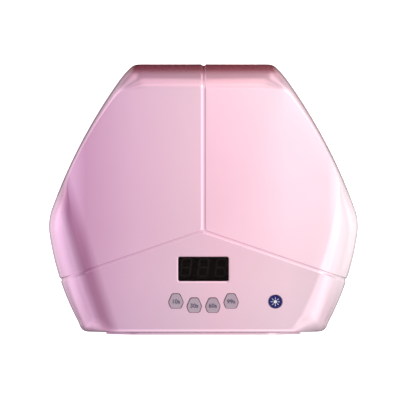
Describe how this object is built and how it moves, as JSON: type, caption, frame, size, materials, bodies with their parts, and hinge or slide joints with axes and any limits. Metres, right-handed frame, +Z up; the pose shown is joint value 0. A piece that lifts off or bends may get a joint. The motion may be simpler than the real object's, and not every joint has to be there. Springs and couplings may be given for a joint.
{
  "type": "uv led nail lamp",
  "caption": "Faceted gloss shell over a lit hand cavity, with a sloping key and display panel, a mirrored reflector and a slide-out steel tray.",
  "frame": {"origin": "centre of the bounding box on the plane that the feet stand on", "axes": "+X to the right as the user faces the mouth, +Y to the rear, +Z up"},
  "size_m": [0.2248, 0.1964, 0.0968],
  "materials": {
    "pink_shell": "pearlescent pink to lilac, high gloss",
    "dark_window": "smoked, polished",
    "key_plastic": "translucent grey lilac, satin",
    "badge": "navy, glossy",
    "reflector": "metallised, mirror bright",
    "white_plastic": "moulded, satin",
    "tray_steel": "brushed",
    "rubber": "matt",
    "steel": "zinc plated",
    "black_plastic": "satin",
    "circuit_board": "green solder mask",
    "white_board": "white solder mask",
    "copper": "enamelled winding",
    "cable": "insulated"
  },
  "bodies": {
    "housing": {"top_shell": "pink_shell", "mouth_trim": "pink_shell", "display_lens": "dark_window", "front_badge": "badge", "reflector": "reflector", "base_frame": "white_plastic", "tray_rail_left": "white_plastic", "tray_rail_right": "white_plastic", "key_guide": "white_plastic", "foot_front_left": "rubber", "foot_front_right": "rubber", "foot_rear_left": "rubber", "foot_rear_right": "rubber", "base_screw_1": "steel", "base_screw_2": "steel", "base_screw_3": "steel", "base_screw_4": "steel", "reflector_screw_1": "steel", "reflector_screw_2": "steel", "reflector_screw_3": "steel", "reflector_screw_4": "steel", "board_screw_1": "steel", "board_screw_2": "steel", "tray_magnet_1": "steel", "tray_magnet_2": "steel", "tray_magnet_3": "steel", "tray_magnet_4": "steel", "switch_10s": "steel", "switch_30s": "steel", "switch_60s": "steel", "switch_99s": "steel", "dc_jack_pin": "steel", "display_module": "black_plastic", "control_chip": "black_plastic", "ir_emitter": "black_plastic", "ir_receiver": "black_plastic", "dc_jack": "black_plastic", "driver_capacitor": "black_plastic", "control_board": "circuit_board", "sensor_board": "circuit_board", "driver_board": "circuit_board", "led_board_top": "white_board", "led_board_left": "white_board", "led_board_right": "white_board", "led_board_rear": "white_board", "driver_inductor": "copper", "control_harness": "cable", "led_harness_top": "cable", "led_harness_left": "cable", "led_harness_right": "cable"},
    "key_10s": {"key_10s_cap": "key_plastic", "key_10s_plunger": "black_plastic"},
    "key_30s": {"key_30s_cap": "key_plastic", "key_30s_plunger": "black_plastic"},
    "key_60s": {"key_60s_cap": "key_plastic", "key_60s_plunger": "black_plastic"},
    "key_99s": {"key_99s_cap": "key_plastic", "key_99s_plunger": "black_plastic"},
    "tray": {"base_tray": "tray_steel"}
  },
  "joints": [
    {"name": "key_10s_press", "type": "slide", "parent": "housing", "child": "key_10s", "axis": [0, 0.3256, -0.9455], "range_m": [0, 0.0008], "stiffness_N_per_m": 500},
    {"name": "key_30s_press", "type": "slide", "parent": "housing", "child": "key_30s", "axis": [0, 0.3256, -0.9455], "range_m": [0, 0.0008], "stiffness_N_per_m": 500},
    {"name": "key_60s_press", "type": "slide", "parent": "housing", "child": "key_60s", "axis": [0, 0.3256, -0.9455], "range_m": [0, 0.0008], "stiffness_N_per_m": 500},
    {"name": "key_99s_press", "type": "slide", "parent": "housing", "child": "key_99s", "axis": [0, 0.3256, -0.9455], "range_m": [0, 0.0008], "stiffness_N_per_m": 500},
    {"name": "tray_slide", "type": "slide", "parent": "housing", "child": "tray", "axis": [0, -1, 0], "range_m": [0, 0.15]}
  ]
}
